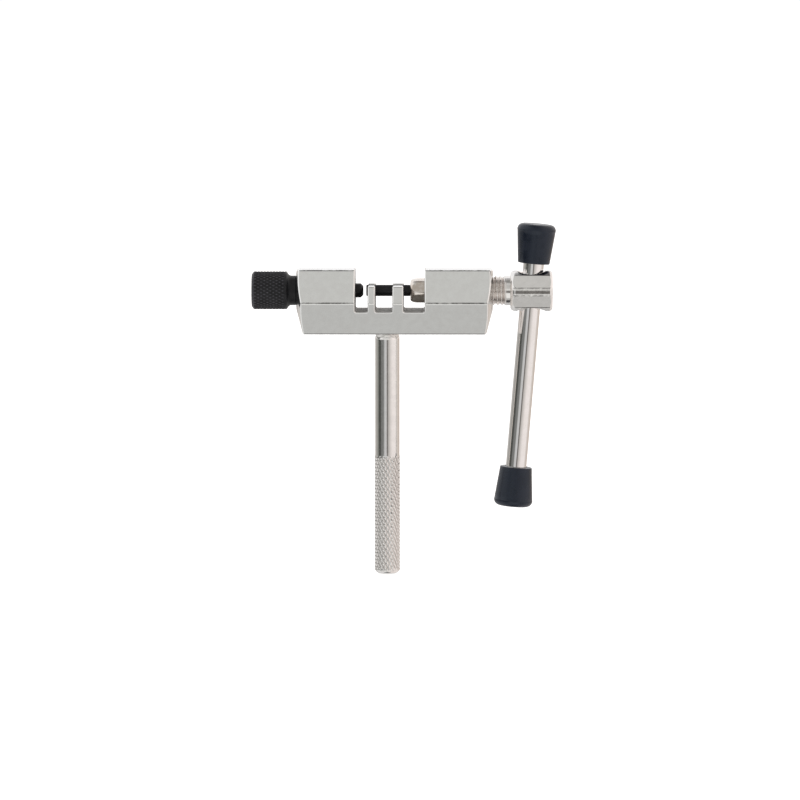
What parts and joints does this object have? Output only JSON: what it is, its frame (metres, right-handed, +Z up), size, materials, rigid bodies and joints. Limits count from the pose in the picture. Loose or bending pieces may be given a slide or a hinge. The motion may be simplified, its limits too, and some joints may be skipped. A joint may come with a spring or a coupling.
{
  "type": "bicycle chain tool",
  "caption": "Bicycle chain rivet tool: slotted hexagonal body on a knurled handle, with a drive screw turned by a sliding capped bar and an opposed knurled support screw.",
  "frame": {"origin": "centre of the handle's flat end face", "axes": "+Z up along the handle towards the body, +X along the drive screw towards its head, +Y away from the viewer of the slot's front"},
  "size_m": [0.0893, 0.022, 0.1036],
  "materials": {
    "body_steel": "satin nickel-plated steel, edges worn bright",
    "handle_steel": "nickel-plated steel, smooth above and diamond-knurled below",
    "screw_steel": "bright steel, machined thread",
    "nut_steel": "darkened turned steel",
    "pin_black": "black hardened steel",
    "bar_chrome": "bright plated rod",
    "cap_rubber": "dark blue-grey moulded rubber",
    "knob_black": "black oxide steel"
  },
  "bodies": {
    "frame": {"body": "body_steel", "handle": "handle_steel"},
    "drive_pin": {"drive_pin": "pin_black"},
    "drive_screw": {"drive_screw": "screw_steel", "pin_nut": "nut_steel"},
    "tommy_bar": {"tommy_bar": "bar_chrome", "upper_cap": "cap_rubber", "lower_cap": "cap_rubber"},
    "support_nose": {"support_nose": "knob_black"},
    "support_knob": {"support_knob": "knob_black"}
  },
  "joints": [
    {"name": "drive_feed", "type": "slide", "parent": "frame", "child": "drive_pin", "axis": [1, 0, 0], "range_m": [-0.00063, 0.01407]},
    {"name": "drive_turn", "type": "hinge", "parent": "drive_pin", "child": "drive_screw", "pos_m": [0.0423, 0, 0.0836], "axis": [1, 0, 0], "range_deg": [-180, 4050]},
    {"name": "bar_slide", "type": "slide", "parent": "drive_screw", "child": "tommy_bar", "axis": [0.0837, 0, 0.9965], "range_m": [-0.0016, 0.0455]},
    {"name": "support_feed", "type": "slide", "parent": "frame", "child": "support_nose", "axis": [1, 0, 0], "range_m": [-0.00626, 0]},
    {"name": "support_turn", "type": "hinge", "parent": "support_nose", "child": "support_knob", "pos_m": [-0.035, 0, 0.0836], "axis": [1, 0, 0], "range_deg": [-1800, 0]}
  ],
  "couplings": [
    {"joint": "drive_feed", "follows": "drive_turn", "m_per_rad": 0.00019894},
    {"joint": "support_feed", "follows": "support_turn", "m_per_rad": 0.00019894}
  ]
}
